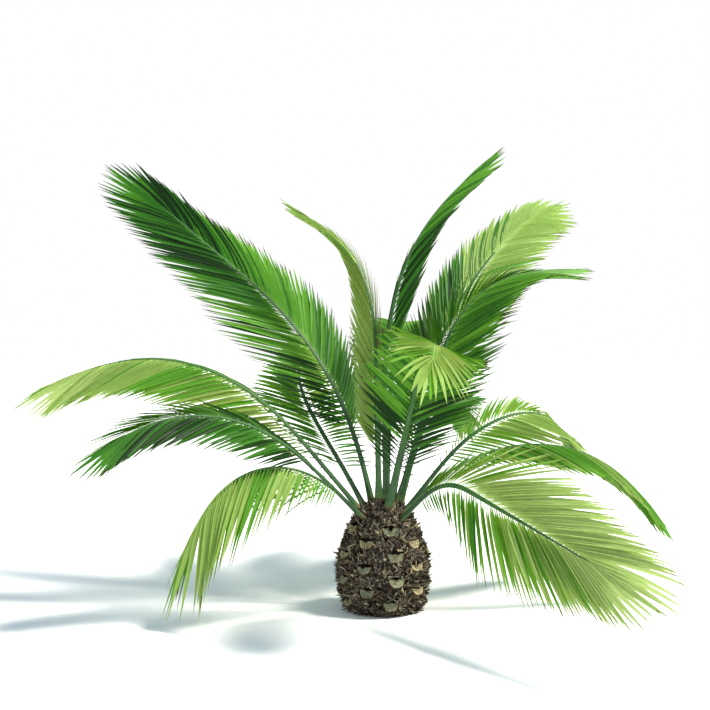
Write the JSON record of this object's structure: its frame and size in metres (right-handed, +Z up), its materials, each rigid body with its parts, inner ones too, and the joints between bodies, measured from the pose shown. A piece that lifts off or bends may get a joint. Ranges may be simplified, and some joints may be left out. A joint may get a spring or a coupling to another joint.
{
  "type": "canary island date palm",
  "caption": "Young date palm rooted in the ground: a squat trunk studded with cut leaf bases, and a full crown of arching feather fronds.",
  "frame": {"origin": "middle of the flat cut under the trunk, at ground level", "axes": "+Z up along the trunk, -Y towards the front view of the picture, +X to the right in that view"},
  "size_m": [3.5608, 3.5806, 2.5299],
  "materials": {
    "bark": "rough fibrous bark with cut leaf bases",
    "leaf": "thin green leaf with a dull sheen"
  },
  "bodies": {
    "root": {"trunk": "bark", "frond_upper_left": "leaf", "frond_centre_left": "leaf", "frond_centre_right": "leaf", "frond_upper_right": "leaf", "frond_right_high_inner": "leaf", "frond_right_high_outer": "leaf", "frond_front_inner": "leaf", "frond_front_outer": "leaf", "frond_right_back_inner": "leaf", "frond_right_back_outer": "leaf", "frond_right_inner": "leaf", "frond_right_outer": "leaf", "frond_front_right_inner": "leaf", "frond_front_right_outer": "leaf", "frond_left_high_inner": "leaf", "frond_left_high_outer": "leaf", "frond_left_inner": "leaf", "frond_left_outer": "leaf", "frond_left_low_inner": "leaf", "frond_left_low_outer": "leaf", "frond_back_left_inner": "leaf", "frond_back_left_outer": "leaf", "frond_back_inner": "leaf", "frond_back_outer": "leaf", "frond_back_right_inner": "leaf", "frond_back_right_outer": "leaf"}
  },
  "joints": []
}
